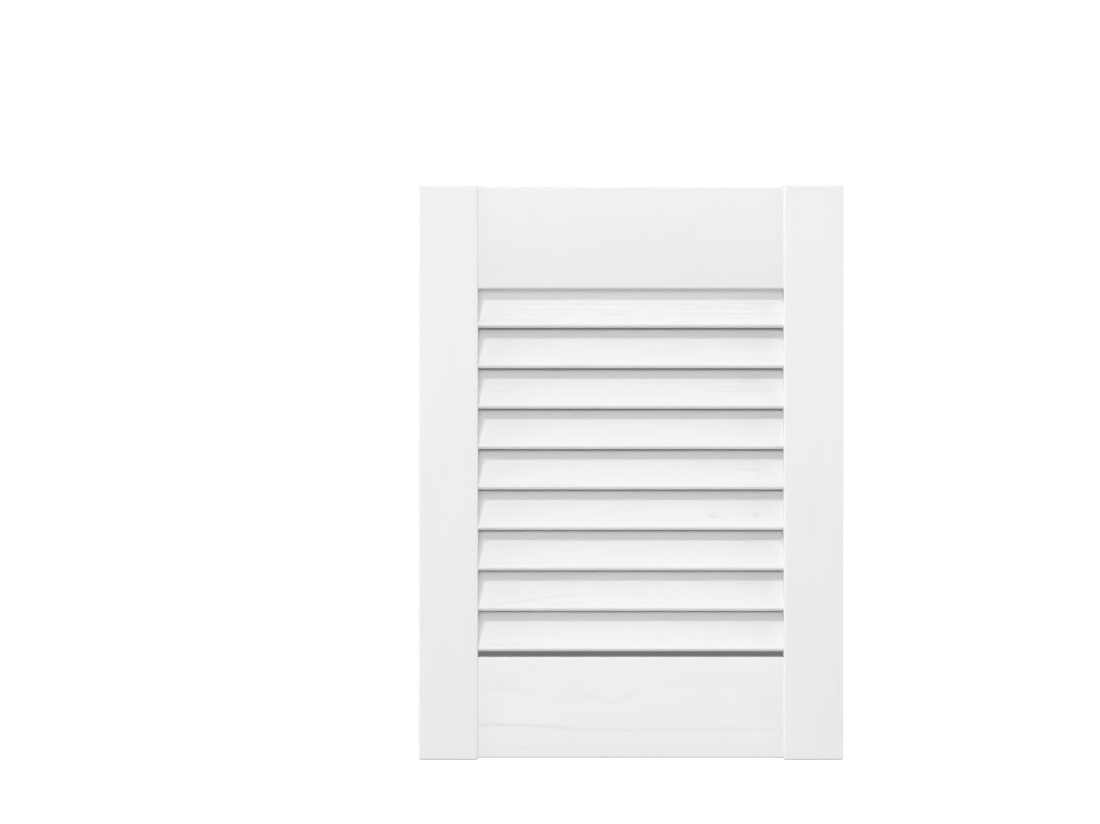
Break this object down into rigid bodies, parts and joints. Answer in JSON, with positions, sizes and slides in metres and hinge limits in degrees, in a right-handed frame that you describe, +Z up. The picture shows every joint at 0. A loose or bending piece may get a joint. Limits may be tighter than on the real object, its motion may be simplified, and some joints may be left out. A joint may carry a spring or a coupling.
{
  "type": "louvred cabinet door",
  "caption": "White-painted pine cabinet door: a stile-and-rail frame round a field of fixed louvres, slanting forward and housed in slots, that lets air through.",
  "frame": {"origin": "middle of the left stile's outer edge face, where the door is hung", "axes": "+X across the door to the closing edge, +Y from the front to the back, +Z up"},
  "size_m": [0.294, 0.021, 0.398],
  "materials": {
    "frame_paint": "satin",
    "louvre_paint": "satin"
  },
  "bodies": {
    "root": {"left_stile": "frame_paint", "right_stile": "frame_paint", "top_rail": "frame_paint", "bottom_rail": "frame_paint", "louvre_1": "louvre_paint", "louvre_2": "louvre_paint", "louvre_3": "louvre_paint", "louvre_4": "louvre_paint", "louvre_5": "louvre_paint", "louvre_6": "louvre_paint", "louvre_7": "louvre_paint", "louvre_8": "louvre_paint", "louvre_9": "louvre_paint"}
  },
  "joints": []
}
